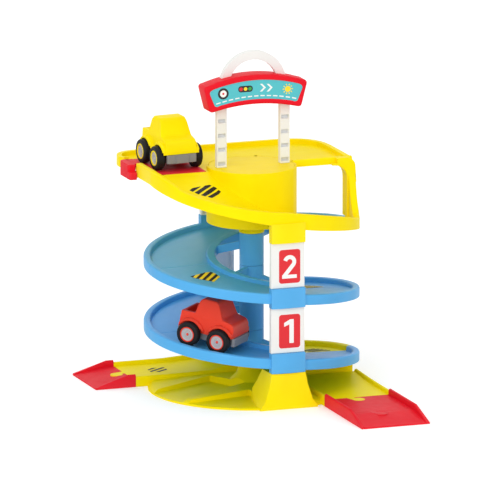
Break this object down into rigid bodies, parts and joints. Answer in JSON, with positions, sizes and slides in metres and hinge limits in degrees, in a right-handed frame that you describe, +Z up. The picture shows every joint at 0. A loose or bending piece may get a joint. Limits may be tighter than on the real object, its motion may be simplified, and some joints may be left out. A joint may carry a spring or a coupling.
{
  "type": "toy parking garage",
  "caption": "Toy parking garage with a spiral road, a hand lift, a launch plate worked by a lever, end ramps and two toy cars.",
  "frame": {"origin": "on the ground at the axis of the spiral road, under the hub", "axes": "+X right, +Y back and +Z up, seen from the pillar with the numerals"},
  "size_m": [0.369, 0.4534, 0.4843],
  "materials": {
    "yellow_plastic": "glossy moulded plastic",
    "blue_plastic": "glossy moulded plastic",
    "red_plastic": "glossy moulded plastic",
    "white_plastic": "glossy moulded plastic",
    "grey_plastic": "satin moulded plastic",
    "black_tyre": "matt soft plastic",
    "axle_steel": "bright wire"
  },
  "bodies": {
    "garage": {"base": "yellow_plastic", "road_half_1": "blue_plastic", "road_half_2": "blue_plastic", "road_half_3": "blue_plastic", "road_half_4": "blue_plastic", "top_deck": "yellow_plastic", "front_panel_1": "white_plastic", "front_panel_2": "white_plastic", "back_panel_1": "white_plastic", "back_panel_2": "white_plastic", "back_panel_3": "white_plastic", "left_ramp": "red_plastic", "front_link": "red_plastic", "front_ramp": "red_plastic", "red_car_body": "red_plastic", "red_car_chassis": "grey_plastic"},
    "lift": {"lift_platform": "yellow_plastic", "lift_frame": "white_plastic", "sign_board": "red_plastic"},
    "launch_lever": {"launch_lever": "red_plastic"},
    "launch_plate": {"launch_plate": "red_plastic", "yellow_car_body": "yellow_plastic", "yellow_car_chassis": "grey_plastic"},
    "yellow_car_front_wheels": {"yellow_car_front_axle": "axle_steel", "yellow_car_front_left_tyre": "black_tyre", "yellow_car_front_left_hub": "grey_plastic", "yellow_car_front_right_tyre": "black_tyre", "yellow_car_front_right_hub": "grey_plastic"},
    "yellow_car_rear_wheels": {"yellow_car_rear_axle": "axle_steel", "yellow_car_rear_left_tyre": "black_tyre", "yellow_car_rear_left_hub": "grey_plastic", "yellow_car_rear_right_tyre": "black_tyre", "yellow_car_rear_right_hub": "grey_plastic"},
    "red_car_front_wheels": {"red_car_front_axle": "axle_steel", "red_car_front_left_tyre": "black_tyre", "red_car_front_left_hub": "grey_plastic", "red_car_front_right_tyre": "black_tyre", "red_car_front_right_hub": "grey_plastic"},
    "red_car_rear_wheels": {"red_car_rear_axle": "axle_steel", "red_car_rear_left_tyre": "black_tyre", "red_car_rear_left_hub": "grey_plastic", "red_car_rear_right_tyre": "black_tyre", "red_car_rear_right_hub": "grey_plastic"}
  },
  "joints": [
    {"name": "lift_slide", "type": "slide", "parent": "garage", "child": "lift", "axis": [0, 0, 1], "range_m": [-0.066, 0]},
    {"name": "launch_lever_hinge", "type": "hinge", "parent": "garage", "child": "launch_lever", "pos_m": [-0.125, 0.078, 0.3016], "axis": [0, -1, 0], "range_deg": [0, 12]},
    {"name": "launch_plate_hinge", "type": "hinge", "parent": "garage", "child": "launch_plate", "pos_m": [-0.103, 0.0062, 0.3116], "axis": [1, 0, 0], "range_deg": [0, 8]},
    {"name": "yellow_car_front_wheel_spin", "type": "hinge", "parent": "launch_plate", "child": "yellow_car_front_wheels", "pos_m": [-0.10016, 0.03443, 0.3328], "axis": [0.9969, 0.0784, 0.0021], "continuous": true},
    {"name": "yellow_car_rear_wheel_spin", "type": "hinge", "parent": "launch_plate", "child": "yellow_car_rear_wheels", "pos_m": [-0.10384, 0.08127, 0.33402], "axis": [0.9969, 0.0784, 0.0021], "continuous": true},
    {"name": "red_car_front_wheel_spin", "type": "hinge", "parent": "garage", "child": "red_car_front_wheels", "pos_m": [-0.06434, -0.08009, 0.09461], "axis": [0.737, 0.6747, 0.0397], "continuous": true},
    {"name": "red_car_rear_wheel_spin", "type": "hinge", "parent": "garage", "child": "red_car_rear_wheels", "pos_m": [-0.09596, -0.04595, 0.10123], "axis": [0.737, 0.6747, 0.0397], "continuous": true}
  ],
  "couplings": [
    {"joint": "launch_plate_hinge", "follows": "launch_lever_hinge", "ratio": 0.665}
  ]
}
